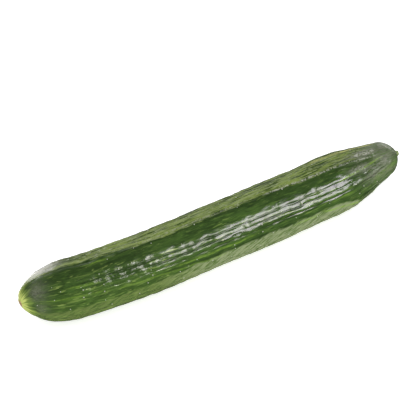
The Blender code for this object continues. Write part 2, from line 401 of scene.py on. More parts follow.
def line_at(lines, s, angle):
    """How strongly the skin is marked by the lines at station s and an angle of the straightened skin."""
    mark = 0.0
    for rib, first, last, off_first, off_last, width, strength in lines:
        off_crest = off_first + (off_last - off_first) * (s - first) / (last - first)
        across = off_by(angle, RIBS[rib][0] + off_crest) / width
        if abs(across) < LINE_REACH and first < s < last:
            within = smoothstep((s - first) / LINE_FADE) * smoothstep((last - s) / LINE_FADE)
            mark = max(mark, strength * within * math.exp(-across * across))
    return mark


def bloom_and_sheen_at(s, angle):
    """How thickly the grey bloom and the painted sheen lie at station s and an angle of the straightened
    skin.
    """
    bloom_and_sheen = 0.0
    for station, middle, length, width, strength in BLOOM_AND_SHEEN:
        along = (s - station) / length
        if abs(along) < BLOOM_AND_SHEEN_REACH:
            across = off_by(angle, middle) / width
            bloom_and_sheen = max(bloom_and_sheen, strength * math.exp(-along * along - across * across))
    return bloom_and_sheen


# Small warts stand on the ribs here and there, each with the pale stump of a spine on it. There are none
# near the ends, along the underside and on the rib at the top.
WART_HEIGHT = 0.00012
WART_RADIUS = 0.0009
WART_REACH = 3.0
WART_SEED = 11
WART_FIRST = (0.012, 0.070)
WART_SPACING = (0.012, 0.040)
WART_OFF_CREST = 3.0
WART_SIZES = (0.7, 1.2)
BARE_NECK = 0.022
BARE_UNDERSIDE = 42.0
BARE_RIB = 0

warts = []
draw = random.Random(WART_SEED)
for k, (angle, _, _) in enumerate(RIBS):
    s = draw.uniform(*WART_FIRST)
    while s < FRUIT_LENGTH - BARE_NECK:
        off_crest = draw.uniform(-WART_OFF_CREST, WART_OFF_CREST)
        size = draw.uniform(*WART_SIZES)
        if abs(angle - UNDERSIDE) > BARE_UNDERSIDE and k != BARE_RIB:
            warts.append((s, k, off_crest, size))
        s += draw.uniform(*WART_SPACING)


def straight(s, angle):
    """A spot of the straightened skin, without bow, twist and taper, where the markings are laid out."""
    turn = math.radians(angle)
    return Vector((s, GIRTH_RADIUS * math.sin(turn), GIRTH_RADIUS * math.cos(turn)))


def ring_of(vertex, count):
    """The ring of a vertex on a sphere that has that many rings, and whether it is a pole."""
    ring = round(math.acos(min(max(vertex.co.z, -1.0), 1.0)) / math.pi * (count + 1)) - 1
    return min(max(ring, 0), count - 1), ring in (-1, count)


# The marks that the skin's mesh carries for its colours and its gloss
MARKS = ("crest", "wart", "scar", "lime", "glint_chain", "crease_shade", "bloom_and_sheen")

rings = fruit_rings()
columns = len(RIBS) * FINE_COLUMNS_A_RIB
fruit_bm = bmesh.new()
bmesh.ops.create_uvsphere(fruit_bm, u_segments=columns, v_segments=len(rings) + 1, radius=1.0)
fruit_bm.verts.ensure_lookup_table()
straight_layer = fruit_bm.verts.layers.float_vector.new("straight")
mark_layers = {name: fruit_bm.verts.layers.float.new(name) for name in MARKS}


def at_each_ring(of_rib):
    """What a function of a rib and a station gives for every rib at every ring."""
    return [[of_rib(k, s) for k in range(len(RIBS))] for s, _, _ in rings]


crests = at_each_ring(crest_angle)
heights = at_each_ring(rib_height)
furrows = at_each_ring(furrow_depth)
beads = at_each_ring(bead)
middles = [middle_line(s) for s, _, _ in rings]
spots = kdtree.KDTree(len(fruit_bm.verts))
places = []
for vertex in fruit_bm.verts:
    ring, is_pole = ring_of(vertex, len(rings))
    s = rings[ring][0]
    column = round(math.atan2(vertex.co.y, vertex.co.x) / (2 * math.pi) * columns) % columns
    k, part = divmod(column, FINE_COLUMNS_A_RIB)
    share = part / FINE_COLUMNS_A_RIB
    after = (k + 1) % len(RIBS)
    crest = crests[ring][k]
    angle = crest + share * ((crests[ring][after] - crest) % 360.0)
    nominal = RIBS[k][0] + share * ((RIBS[after][0] - RIBS[k][0]) % 360.0)
    places.append((ring, k, share, angle, is_pole))
    vertex[straight_layer] = straight(s, nominal)
    for name, lines in LINES.items():
        vertex[mark_layers[name]] = line_at(lines, s, nominal)
    vertex[mark_layers["bloom_and_sheen"]] = bloom_and_sheen_at(s, nominal)
    spots.insert(vertex[straight_layer], vertex.index)
spots.balance()

for s, k, off_crest, size in warts:
    centre = straight(s, RIBS[k][0] + off_crest)
    for _, index, distance in spots.find_range(centre, WART_REACH * WART_RADIUS):
        bump = size * math.exp(-((distance / WART_RADIUS) ** 2))
        vertex = fruit_bm.verts[index]
        vertex[mark_layers["wart"]] = max(vertex[mark_layers["wart"]], bump)


def lift(vertex, ring, k, share, angle):
    """How far the skin stands out from the mean radius at a vertex. It also notes where the crests are."""
    s, mean_radius, strength = rings[ring]
    after = (k + 1) % len(RIBS)
    over = smoothstep(share)
    to_furrow = 1.0 - abs(2.0 * share - 1.0)
    into_furrow = furrows[ring][k] * to_furrow**FURROW_NARROWNESS
    vertex[mark_layers["crest"]] = 1.0 - into_furrow
    top = (1.0 - over) * heights[ring][k] + over * heights[ring][after]
    beaded = (1.0 - over) * beads[ring][k] + over * beads[ring][after]
    turn = math.radians(angle)
    lump = noise.noise(Vector((s / LUMP_LENGTH, LUMP_TURNS * math.cos(turn), LUMP_TURNS * math.sin(turn))))
    lobe = math.cos(LOBES * math.radians(angle - LOBE_CREST))
    girth = mean_radius / GIRTH_RADIUS
    slow = girth * (LUMP_HEIGHT * lump + LOBE_HEIGHT * lobe)
    fine = math.tanh((fine_relief(vertex[straight_layer]) + beaded) / FINE_LIMIT) * FINE_LIMIT
    gap = (RIBS[after][0] - RIBS[k][0]) % 360.0
    fine *= 1.0 - SMOOTH_SHARE * ramp(gap, *SMOOTH_GAP) * to_furrow
    fine *= BLOSSOM_FINE_SHARE + (1.0 - BLOSSOM_FINE_SHARE) * ramp(s, *BLOSSOM_FINE_RISE)
    fine = math.sqrt(girth) * (fine - FINE_SUNK)
    calm = smoothstep(abs(off_by(angle, UNDERSIDE)) / FOOT_SMOOTH_ANGLE)
    wart = WART_HEIGHT * vertex[mark_layers["wart"]]
    return strength * calm * (top * (1.0 - into_furrow) + slow + fine + wart)


for vertex, (ring, k, share, angle, is_pole) in zip(fruit_bm.verts, places):
    centre, _, outward = middles[ring]
    mean_radius = rings[ring][1]
    if ring < len(rings) / 2:
        vertex[mark_layers["scar"]] = 1.0 - smoothstep((mean_radius - SCAR_RIM) / SCAR_FADE)
    turn = math.radians(angle)
    reach = 0.0 if is_pole else mean_radius + lift(vertex, ring, k, share, angle)
    vertex.co = centre + reach * (math.cos(turn) * UP + math.sin(turn) * outward)
    vertex.co.z = max(vertex.co.z, 0.0)


def finish_piece(name, bm):
    """Turns a finished bmesh into a smooth piece that rides with the fruit."""
    bmesh.ops.recalc_face_normals(bm, faces=bm.faces)
    mesh = bpy.data.meshes.new(name)
    bm.to_mesh(mesh)
    bm.free()
    mesh.shade_smooth()
    piece = bpy.data.objects.new(name, mesh)
    bpy.context.scene.collection.objects.link(piece)
    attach(piece, "root")
    return piece


fruit = finish_piece("cucumber_fruit", fruit_bm)
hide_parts("fruit")

# The fruit's skin
# A waxy, half-glossy green. Painted shade darkens the furrows, and broken yellow-green streaks run along
# the crests. The top is painted paler, a painted reflection of the bright back, and the side it lay on is
# paler, partly its ground spot and partly a painted reflection of the white table. The blossom end is
# yellow, and a dull bloom, with some painted sheen, greys the neck.
FURROW_GREEN = (36, 52, 22)
DARK_GREEN = (44, 64, 27)
DEEP_GREEN = (55, 80, 34)
LEAF_GREEN = (70, 99, 42)
LIGHT_GREEN = (88, 118, 50)
STREAK_GREEN = (120, 146, 70)
FLECK_GREEN = (132, 154, 80)
LIME = (136, 174, 62)
YELLOW = (206, 210, 124)
GLINT_GREY = (204, 206, 190)
UPPER_SHEEN_PALE = (144, 162, 86)
UPPER_DEEP = (58, 78, 32)
UPPER_SPECK = (172, 184, 136)
BELLY_PALE = (148, 160, 118)
BELLY_FRESH = (140, 156, 88)
BELLY_DEEP = (88, 112, 56)
TIP_YELLOW = (208, 220, 122)
TIP_GREEN = (134, 158, 72)
NECK_GREEN = (90, 110, 64)
NECK_FRESH = (84, 124, 50)
NECK_PALE = (124, 132, 102)
NECK_DARK = (64, 82, 42)
BLOOM_GREY = (128, 130, 112)
BLOOM_AND_SHEEN_PALE = (196, 198, 184)
WART_GREEN = (52, 72, 32)
SCAR_TAN = (214, 172, 132)
SCAR_BROWN = (158, 114, 82)

# The angles, from the top towards -Y, at the middle of the strips of painted shade and painted light, and
# of the paler sides (the top a painted reflection, the underside partly one), and the cosines at their
# borders
SHADED_MIDDLE = 14.0
SHADED_BORDER = (0.80, 0.99)
LOW_FLANK_MIDDLE = 88.0
LOW_FLANK_BORDER = (0.84, 0.98)
UPPER_MIDDLE = -38.0
UPPER_BORDER = (0.68, 0.76)
BELLY_MIDDLE = 172.0
BELLY_BORDER = (0.18, 0.26)

# The stations between which each look fades in, or fades out where the second station is the lower
STEM_HALF = (0.085, 0.150)
UPPER_WIDER = (0.070, 0.110)
UPPER_WIDEST = (0.200, 0.222)
BELLY_NARROWER = (0.243, 0.295)
NECK_START = (0.268, 0.294)
FOLDS_START = (0.258, 0.278)
TIP_GREEN_END = (0.0110, 0.0045)
TIP_YELLOW_END = (0.0054, 0.0020)
EVEN_BLOOM_END = (0.060, 0.040)

# How many features each pattern has to the millimetre along the fruit, and then up and across
PATCHES = (0.030, 0.16, 0.16)
WAVES = (0.13, 0.75, 0.75)
STREAKS = (0.085, 0.80, 0.80)
STREAKED_AREAS = (0.035, 0.16, 0.16)
GAPS = (0.11, 0.9, 0.9)
FLECKS = (0.15, 0.70, 0.70)
THREADS = (0.08, 1.1, 1.1)
SPECKS = (0.28, 0.9, 0.9)
SLANTS = (0.12, 0.8, 0.8)
RAGGED_EDGES = (0.05, 0.40, 0.40)
FRESH_AREAS = (0.06, 0.28, 0.28)
FOLDS = (0.13, 0.42, 0.42)
BEADS = (0.75, 0.55, 0.55)
BLOOM_WRINKLES = (0.40, 0.70, 0.70)
MOTTLES = (0.35, 0.60, 0.60)
CRINKLES = (0.75, 0.30, 0.30)
PORES = (2.4, 2.4, 2.4)

# The values of its pattern between which each mask fades in
PATCHES_FADE = (0.40, 0.62)
DARK_WAVES_FADE = (0.46, 0.34)
LIGHT_WAVES_FADE = (0.53, 0.68)
STREAKS_FADE = (0.56, 0.65)
STREAKS_ON_CREST = (0.45, 0.90)
STREAKED_AREAS_FADE = (0.40, 0.62)
GAPS_FADE = (0.44, 0.36)
FLECKS_FADE = (0.63, 0.74)
FLECKS_ON_CREST = (0.4, 0.8)
UPPER_THREADS_FADE = (0.61, 0.83)
SPECKS_FADE = (0.55, 0.68)
SLANTS_FADE = (0.36, 0.56)
FURROW_FADE = (0.62, 0.22)
WART_FADE = (0.10, 0.60)
NECK_THREADS_FADE = (0.42, 0.60)
FRESH_AREAS_FADE = (0.52, 0.64)
NECK_MOTTLES_FADE = (0.46, 0.34)
FOLDS_FADE = (0.055, 0.012)
LIME_MOTTLES_FADE = (0.36, 0.56)
CORK_MOTTLES_FADE = (0.40, 0.62)
BEADS_FADE = (0.45, 0.54)
BLOOM_WRINKLES_FADE = (0.38, 0.60)
BLOOM_PALE_FADE = (0.7, 1.5)

# How far other patterns and the stations move a mask's border
WAVES_FRAY = 0.26
PATCHES_FRAY = 0.14
BELLY_FRAY_SHARE = 0.5
UPPER_WIDENING = 0.08
UPPER_LAST_WIDENING = 0.06
BELLY_WIDENING = 0.14
BELLY_NARROWING = -0.60
NECK_RAGGEDNESS = 0.060
TIP_RAGGEDNESS = 0.020
FLANK_STREAKS = 0.04
FLANK_STREAKED_AREAS = 0.7
PATCHY_THREADS = 0.5
STEM_HALF_THREADS = -0.04
STEM_HALF_FLECKS = -0.04

# Strengths on the blossom half and on the stem half, and then without and with what the name says
BELLY_STRENGTH = (0.40, 0.95)
GAPS_STRENGTH = (0.55, 0.0)
SHADED_STRENGTH = (0.4, 0.0)
FURROW_STRENGTH = (0.45, 1.0)
FURROW_ON_UPPER = (0.85, 0.35)
FURROW_ON_BELLY = (1.0, 0.2)
LIME_ON_MOTTLES = (0.4, 1.0)
CREASE_ON_BEADS = (0.6, 1.0)
EVEN_BLOOM = (0.05, 0.60)
DULL_NECK = 0.7

NOISE_MIDDLE = 0.5
SLANT = math.radians(24.0)
PORE_DEPTH = 0.35
SKIN_ROUGHNESS = 0.10
MOTTLE_ROUGHNESS = 0.10
DULL_ROUGHNESS = 0.25
SKIN_RELIEF = 0.00014
WAX_IOR = 1.47


def paint(colour):
    """A colour in eight-bit screen values as the shader's own linear values."""
    linear = [((c / 255 + 0.055) / 1.055) ** 2.4 if c > 10 else c / 255 / 12.92 for c in colour]
    return (*linear, 1.0)


class Finish:
    """The nodes of a material, a group or the room. A method adds some and gives the last one's output.

    Only the method called node gives the node itself.
    """

    def __init__(self, tree):
        self.tree = tree

    def node(self, kind, inputs=None, **settings):
        """Adds a node. Its inputs take a value, or the output of another node."""
        made = self.tree.nodes.new(kind)
        for name, value in settings.items():
            setattr(made, name, value)
        for socket, value in (inputs or {}).items():
            if isinstance(value, bpy.types.NodeSocket):
                self.tree.links.new(value, made.inputs[socket])
            else:
                made.inputs[socket].default_value = value
        return made

    def attribute(self, name, output="Fac"):
        return self.node("ShaderNodeAttribute", attribute_name=name).outputs[output]

    def calculate(self, operation, a, b=0.0):
        return self.node("ShaderNodeMath", {0: a, 1: b}, operation=operation).outputs[0]

    def times(self, a, b):
        return self.calculate("MULTIPLY", a, b)

    def plus(self, a, b):
        return self.calculate("ADD", a, b)

    def fade(self, value, start, end):
        """Rises smoothly from 0 where the value is at start to 1 where it is at end."""
        inputs = {"Value": value, "From Min": start, "From Max": end}
        return self.node("ShaderNodeMapRange", inputs, interpolation_type="SMOOTHSTEP").outputs["Result"]

    def between(self, share, low, high):
        """A value between low and high."""
        return self.node("ShaderNodeMix", {0: share, 2: low, 3: high}, data_type="FLOAT").outputs[0]

    def blend(self, share, low, high):
        """A colour between low and high. Either can be a named colour or another node's output."""
        low, high = (paint(c) if isinstance(c, tuple) else c for c in (low, high))
        return self.node("ShaderNodeMix", {0: share, 6: low, 7: high}, data_type="RGBA").outputs[2]

    def wash(self, colour, tone, mask, strength):
        """A colour with a tone laid over it where the mask is, as thickly as the strength says."""
        return self.blend(self.times(mask, strength), colour, tone)

    def pattern(self, where, per_mm, detail=2.0, roughness=0.5, distortion=0.0):
        """Noise with so many features to the millimetre along, up and across."""
        scale = [c / MM for c in per_mm]
        mapped = self.node("ShaderNodeMapping", {"Vector": where, "Scale": scale}).outputs["Vector"]
        inputs = {"Vector": mapped, "Scale": 1.0, "Detail": detail}
        inputs.update({"Roughness": roughness, "Distortion": distortion})
        return self.node("ShaderNodeTexNoise", inputs).outputs[0]

    def bump(self, height, distance):
        inputs = {"Height": height, "Strength": 1.0, "Distance": distance}
        return self.node("ShaderNodeBump", inputs).outputs["Normal"]


def growth_grain():
    """The grain of grown plant skin: soft mottles for the colour, pores and crinkles for the relief."""
    group = bpy.data.node_groups.new("growth_grain", "ShaderNodeTree")
    group.interface.new_socket("Where", in_out="INPUT", socket_type="NodeSocketVector")
    for name in ("Mottle", "Relief"):
        group.interface.new_socket(name, in_out="OUTPUT", socket_type="NodeSocketFloat")
    grain = Finish(group)
    where = grain.node("NodeGroupInput").outputs["Where"]
    mottle = grain.pattern(where, MOTTLES, detail=4.0, roughness=0.6)
    crinkle = grain.pattern(where, CRINKLES, detail=3.0, distortion=0.4)
    pores = grain.pattern(where, PORES)
    relief = grain.plus(crinkle, grain.times(pores, PORE_DEPTH))
    grain.node("NodeGroupOutput", {"Mottle": mottle, "Relief": relief})
    return group


grain_group = growth_grain()


class Skin(Finish):
    """The skin's finish, with the marks that its mesh carries and the masks that its layers share."""

    def __init__(self, tree):
        super().__init__(tree)
        self.where = self.attribute("straight", "Vector")
        self.marks = {name: self.attribute(name) for name in MARKS}
        self.station = self.node("ShaderNodeSeparateXYZ", {0: self.where}).outputs["X"]
        grain = self.node("ShaderNodeGroup", node_tree=grain_group)
        self.tree.links.new(self.where, grain.inputs["Where"])
        self.mottle, self.relief = grain.outputs["Mottle"], grain.outputs["Relief"]
        self.patches = self.on_skin(PATCHES, detail=3.0)
        self.waves = self.on_skin(WAVES, detail=3.0, distortion=0.6)
        self.threads = self.on_skin(THREADS, detail=3.0, roughness=0.6, distortion=0.4)
        self.ragged = self.plus(self.on_skin(RAGGED_EDGES, detail=3.0), -NOISE_MIDDLE)
        self.beads = self.fade(self.on_skin(BEADS, distortion=0.6), *BEADS_FADE)
        self.stem_half = self.fade(self.station, *STEM_HALF)
        low_flank = self.fade(self.facing(LOW_FLANK_MIDDLE), *LOW_FLANK_BORDER)
        self.low_flank = self.times(low_flank, self.between(self.stem_half, 1.0, 0.0))
        fray = self.times(self.plus(self.waves, -NOISE_MIDDLE), WAVES_FRAY)
        fray = self.plus(fray, self.times(self.plus(self.patches, -NOISE_MIDDLE), PATCHES_FRAY))
        self.upper = self.upper_side(fray)
        self.belly = self.lower_side(fray)
        self.from_folds = self.plus(self.station, self.times(self.ragged, NECK_RAGGEDNESS))
        self.neck = self.fade(self.from_folds, *NECK_START)
        wrinkles = self.on_skin(BLOOM_WRINKLES, detail=3.0, roughness=0.65, distortion=0.8)
        even = self.between(self.fade(self.station, *EVEN_BLOOM_END), *EVEN_BLOOM)
        broken = self.between(even, self.fade(wrinkles, *BLOOM_WRINKLES_FADE), 1.0)
        self.bloom_and_sheen_mask = self.times(self.marks["bloom_and_sheen"], broken)

    def on_skin(self, per_mm, **settings):
        """A pattern on the straightened skin."""
        return self.pattern(self.where, per_mm, **settings)

    def facing(self, angle):
        """The cosine of the angle round the fruit between a spot of the skin and a direction."""
        turn = math.radians(angle)
        direction = (0.0, math.sin(turn) / GIRTH_RADIUS, math.cos(turn) / GIRTH_RADIUS)
        inputs = {0: self.where, 1: direction}
        return self.node("ShaderNodeVectorMath", inputs, operation="DOT_PRODUCT").outputs["Value"]

    def upper_side(self, fray):
        """The mask of the top painted paler, a painted reflection of the bright back, which widens twice
        towards the stem and has a frayed border.
        """
        to_upper = self.plus(self.facing(UPPER_MIDDLE), fray)
        to_upper = self.plus(to_upper, self.times(self.fade(self.station, *UPPER_WIDER), UPPER_WIDENING))
        widest = self.fade(self.station, *UPPER_WIDEST)
        to_upper = self.plus(to_upper, self.times(widest, UPPER_LAST_WIDENING))
        return self.fade(to_upper, *UPPER_BORDER)

    def lower_side(self, fray):
        """The mask of the paler underside, partly its ground spot and partly a painted reflection of the
        white table, which is stronger on the stem half and ends on the neck.
        """
        to_belly = self.plus(self.facing(BELLY_MIDDLE), self.times(fray, BELLY_FRAY_SHARE))
        to_belly = self.plus(to_belly, self.times(self.stem_half, BELLY_WIDENING))
        narrower = self.fade(self.station, *BELLY_NARROWER)
        to_belly = self.plus(to_belly, self.times(narrower, BELLY_NARROWING))
        strength = self.between(self.stem_half, *BELLY_STRENGTH)
        return self.times(self.fade(to_belly, *BELLY_BORDER), strength)

    def flesh(self):
        """The flesh's green, in long patches and finer wavy streaks, with painted light lightening the low
        flank of the blossom half.
        """
        colour = self.blend(self.fade(self.patches, *PATCHES_FADE), DEEP_GREEN, LEAF_GREEN)
        colour = self.wash(colour, DARK_GREEN, self.fade(self.waves, *DARK_WAVES_FADE), strength=0.75)
        colour = self.wash(colour, LIGHT_GREEN, self.fade(self.waves, *LIGHT_WAVES_FADE), strength=0.70)
        # Painted light: the low flank of the blossom half is washed lighter.
        return self.wash(colour, LIGHT_GREEN, self.low_flank, strength=0.25)

    def streaks(self, colour):
        """Broken paler streaks along the ribs and short flecks, most of them on the blossom half.

        Painted shade darkens the blossom half just short of its top.
        """
        crest = self.marks["crest"]
        streaks = self.on_skin(STREAKS, detail=2.5, distortion=0.5)
        streaks = self.plus(streaks, self.times(self.low_flank, FLANK_STREAKS))
        areas = self.fade(self.on_skin(STREAKED_AREAS, detail=1.0), *STREAKED_AREAS_FADE)
        areas = self.calculate("MAXIMUM", areas, self.times(self.low_flank, FLANK_STREAKED_AREAS))
        streaks = self.times(self.fade(streaks, *STREAKS_FADE), areas)
        streaks = self.times(streaks, self.fade(crest, *STREAKS_ON_CREST))
        colour = self.wash(colour, STREAK_GREEN, streaks, strength=0.75)
        gaps = self.fade(self.on_skin(GAPS, detail=3.0, distortion=0.6), *GAPS_FADE)
        strength = self.between(self.stem_half, *GAPS_STRENGTH)
        colour = self.wash(colour, FURROW_GREEN, gaps, strength)
        flecks = self.on_skin(FLECKS, detail=1.5, distortion=0.5)
        flecks = self.plus(flecks, self.times(self.stem_half, STEM_HALF_FLECKS))
        flecks = self.fade(flecks, *FLECKS_FADE)
        colour = self.wash(colour, FLECK_GREEN, flecks, strength=self.fade(crest, *FLECKS_ON_CREST))
        # Painted shade: a dark strip just short of the top of the blossom half.
        shaded = self.fade(self.facing(SHADED_MIDDLE), *SHADED_BORDER)
        return self.wash(colour, DARK_GREEN, shaded, self.between(self.stem_half, *SHADED_STRENGTH))

    def paler_sides(self, colour):
        """The top, painted paler as a reflection of the bright back, with pale threads and specks, and the
        underside, painted paler partly as a reflection of the white table, with slanting streaks.
        """
        threads = self.plus(self.threads, self.times(self.patches, PATCHY_THREADS))
        threads = self.plus(threads, self.times(self.stem_half, STEM_HALF_THREADS))
        tone = self.blend(self.fade(threads, *UPPER_THREADS_FADE), UPPER_DEEP, UPPER_SHEEN_PALE)
        specks = self.fade(self.on_skin(SPECKS, distortion=0.5), *SPECKS_FADE)
        tone = self.wash(tone, UPPER_SPECK, specks, strength=0.7)
        # Painted reflection: the top is washed paler, as the bright back would mirror in it.
        colour = self.wash(colour, tone, self.upper, strength=0.85)
        # Partly painted reflection: the underside is paler, partly as its ground spot and partly as the
        # white table would mirror in it.
        inputs = {"Vector": self.where, "Rotation": (0.0, SLANT, 0.0)}
        slanted = self.node("ShaderNodeMapping", inputs).outputs["Vector"]
        slants = self.pattern(slanted, SLANTS, detail=3.0, roughness=0.6, distortion=0.4)
        pale = self.blend(self.stem_half, BELLY_FRESH, BELLY_PALE)
        tone = self.blend(self.fade(slants, *SLANTS_FADE), BELLY_DEEP, pale)
        return self.blend(self.belly, colour, tone)

    def furrows(self, colour):
        """Painted shade in the furrows, weaker on the paler sides and the blossom half, and the warts' dark
        feet.
        """
        # Painted shade: the furrows are darkened.
        furrow = self.fade(self.marks["crest"], *FURROW_FADE)
        furrow = self.times(furrow, self.between(self.upper, *FURROW_ON_UPPER))
        furrow = self.times(furrow, self.between(self.stem_half, *FURROW_STRENGTH))
        colour = self.wash(colour, FURROW_GREEN, furrow, self.between(self.belly, *FURROW_ON_BELLY))
        return self.wash(colour, WART_GREEN, self.fade(self.marks["wart"], *WART_FADE), strength=0.15)

    def ends(self, colour):
        """The neck, duller, mottled and with the painted shade of folds, and the yellow blossom end."""
        tone = self.blend(self.fade(self.threads, *NECK_THREADS_FADE), NECK_GREEN, NECK_PALE)
        fresh = self.on_skin(FRESH_AREAS, distortion=0.4)
        tone = self.wash(tone, NECK_FRESH, self.fade(fresh, *FRESH_AREAS_FADE), strength=0.7)
        tone = self.wash(tone, NECK_DARK, self.fade(self.mottle, *NECK_MOTTLES_FADE), strength=0.8)
        colour = self.wash(colour, tone, self.neck, strength=0.85)
        # Painted shade: dark winding lines where folds in the neck would be shaded.
        winding = self.plus(self.on_skin(FOLDS, detail=1.5, distortion=0.8), -NOISE_MIDDLE)
        fold_shade = self.fade(self.calculate("ABSOLUTE", winding), *FOLDS_FADE)
        fold_shade = self.times(fold_shade, self.fade(self.from_folds, *FOLDS_START))
        colour = self.wash(colour, NECK_DARK, fold_shade, strength=0.75)
        from_tip = self.plus(self.station, self.times(self.ragged, TIP_RAGGEDNESS))
        colour = self.wash(colour, TIP_GREEN, self.fade(from_tip, *TIP_GREEN_END), strength=0.8)
        return self.blend(self.fade(from_tip, *TIP_YELLOW_END), colour, TIP_YELLOW)

    def lines_and_bloom(self, colour):
        """The lines along the ribs, with painted glints and the painted shade of creases, the grey bloom
        with some painted sheen, and the corky scar.
        """
        line_tone = self.blend(self.upper, LIME, YELLOW)
        broken = self.between(self.fade(self.mottle, *LIME_MOTTLES_FADE), *LIME_ON_MOTTLES)
        colour = self.wash(colour, line_tone, self.times(self.marks["lime"], broken), strength=0.85)
        # Grey bloom, and on the neck painted sheen and highlights, laid over in grey to pale grey-white.
        bloom_and_sheen_tone = self.blend(self.fade(self.bloom_and_sheen_mask, *BLOOM_PALE_FADE), BLOOM_GREY, BLOOM_AND_SHEEN_PALE)
        colour = self.wash(colour, bloom_and_sheen_tone, self.calculate("MINIMUM", self.bloom_and_sheen_mask, 1.0), strength=0.9)
        # Painted shade: thin dark creases along the ribs.
        crease_shade = self.times(self.marks["crease_shade"], self.between(self.beads, *CREASE_ON_BEADS))
        colour = self.wash(colour, FURROW_GREEN, crease_shade, strength=0.85)
        # Painted highlight: chains of grey-white glints along some ribs.
        colour = self.wash(colour, GLINT_GREY, self.marks["glint_chain"], strength=self.beads)
        cork = self.blend(self.fade(self.mottle, *CORK_MOTTLES_FADE), SCAR_BROWN, SCAR_TAN)
        return self.blend(self.marks["scar"], colour, cork)

    def roughness(self):
        """A waxy gloss that is duller on the neck, the bloom and its painted sheen, and the scar."""
        dull = self.calculate("MINIMUM", self.plus(self.times(self.neck, DULL_NECK), self.bloom_and_sheen_mask), 1.0)
        dull = self.times(self.calculate("MAXIMUM", self.marks["scar"], dull), DULL_ROUGHNESS)
        return self.plus(self.plus(self.times(self.mottle, MOTTLE_ROUGHNESS), SKIN_ROUGHNESS), dull)


def new_material(name, kind=Finish):
    """A new material, with its finish and its shader."""
    material = bpy.data.materials.new(name)
    material.use_nodes = True
    return material, kind(material.node_tree), material.node_tree.nodes["Principled BSDF"]


skin_material, skin, skin_shader = new_material("waxy_green_skin", Skin)
skin_colour = skin.furrows(skin.paler_sides(skin.streaks(skin.flesh())))
skin_colour = skin.lines_and_bloom(skin.ends(skin_colour))
skin.tree.links.new(skin_colour, skin_shader.inputs["Base Color"])
skin.tree.links.new(skin.roughness(), skin_shader.inputs["Roughness"])
skin.tree.links.new(skin.bump(skin.relief, SKIN_RELIEF), skin_shader.inputs["Normal"])
skin_shader.inputs["IOR"].default_value = WAX_IOR
fruit.data.materials.append(skin_material)

# The spines' stumps
# Each wart carries what is left of a soft spine: a pale, dry nub under a millimetre across,
# seated in the skin.
SPINE_RADIUS = 0.00042
SPINE_TOP_RADIUS = 0.00022
SPINE_HEIGHT = 0.00042
SPINE_SUNK = 0.00018
SPINE_SEGMENTS = 8
SPINE_DEEP = (180, 186, 150)
SPINE_PALE = (222, 226, 208)
SPINE_MOTTLES = (0.5, 0.5, 0.5)
SPINE_ROUGHNESS = 0.45

spines_bm = bmesh.new()
for s, k, off_crest, size in warts:
    _, index, _ = spots.find(straight(s, RIBS[k][0] + off_crest))
    seat = fruit.data.vertices[index]
    seating = seat.normal.to_track_quat("Z", "Y").to_matrix().to_4x4()
    seating.translation = seat.co + seat.normal * (SPINE_HEIGHT / 2 - SPINE_SUNK) * size
    bmesh.ops.create_cone(
        spines_bm, cap_ends=True, segments=SPINE_SEGMENTS, radius1=SPINE_RADIUS * size,
        radius2=SPINE_TOP_RADIUS * size, depth=SPINE_HEIGHT * size, matrix=seating,
    )
spines = finish_piece("spine_stumps", spines_bm)

spine_material, spine, spine_shader = new_material("dry_pale_spine")
spine_where = spine.node("ShaderNodeTexCoord").outputs["Object"]
spine_colour = spine.blend(spine.pattern(spine_where, SPINE_MOTTLES), SPINE_DEEP, SPINE_PALE)
spine.tree.links.new(spine_colour, spine_shader.inputs["Base Color"])
spine_shader.inputs["Roughness"].default_value = SPINE_ROUGHNESS
spines.data.materials.append(spine_material)

# The stem's stub
# What is left of the stalk after the cut: a short, five-ribbed green peg that flares where it grows from
# the neck and ends in a paler slanting face.
STEM_RADIUS = 0.0022
STEM_FLARE = 0.0005
STEM_RIBS = 5
STEM_RIB_HEIGHT = 0.00024
STEM_UPWARD_LEAN = -0.30
STEM_OUTWARD_LEAN = 0.35
STEM_CUT_SLOPE = 0.25
STEM_STANDS_OUT = 0.0022
STEM_GAP = 0.0003

# Its outline from the foot to the middle of the cut: height, and the shares of its radius, flare and ribs
STEM_OUTLINE = [
    (0.0000, 0.90, 0.00, 0.0),
    (0.0004, 0.97, 0.00, 0.0),
    (0.0012, 0.98, 0.35, 0.4),
    (0.0016, 1.00, 0.75, 0.8),
    (0.0021, 1.00, 0.30, 1.0),
    (0.0026, 1.00, 0.00, 1.0),
    (0.0030, 1.02, 0.00, 1.0),
    (0.0033, 1.02, 0.00, 1.0),
    (0.0035, 0.94, 0.00, 0.9),
    (0.0034, 0.55, 0.00, 0.5),
    (0.0031, 0.30, 0.00, 0.0),
]
STEM_SEGMENTS = 60
STEM_RINGS_A_STEP = 4
STALK_GREEN = (104, 130, 58)
STALK_PALE = (170, 186, 110)
STALK_THREADS = (0.25, 2.2, 2.2)
STALK_RELIEF = 0.00015
STALK_ROUGHNESS = 0.55
CUT_PALE = (214, 222, 176)
CUT_RING = (150, 172, 92)
STALK_THREADS_FADE = (0.40, 0.64)
PITH_BORDER = (0.45, 0.62)
CUT_BORDER = (0.93, 0.80)

outline = []
for low, high in zip(STEM_OUTLINE, STEM_OUTLINE[1:]):
    for i in range(STEM_RINGS_A_STEP):
        outline.append([a + (b - a) * i / STEM_RINGS_A_STEP for a, b in zip(low, high)])
outline.append(list(STEM_OUTLINE[-1]))
stem_foot, stem_along, stem_outward = middle_line(lip_station() - SOCKET_DEPTH + STEM_GAP)
stem_lean = STEM_UPWARD_LEAN * UP + STEM_OUTWARD_LEAN * stem_outward
mouth_height = SOCKET_DEPTH - STEM_GAP

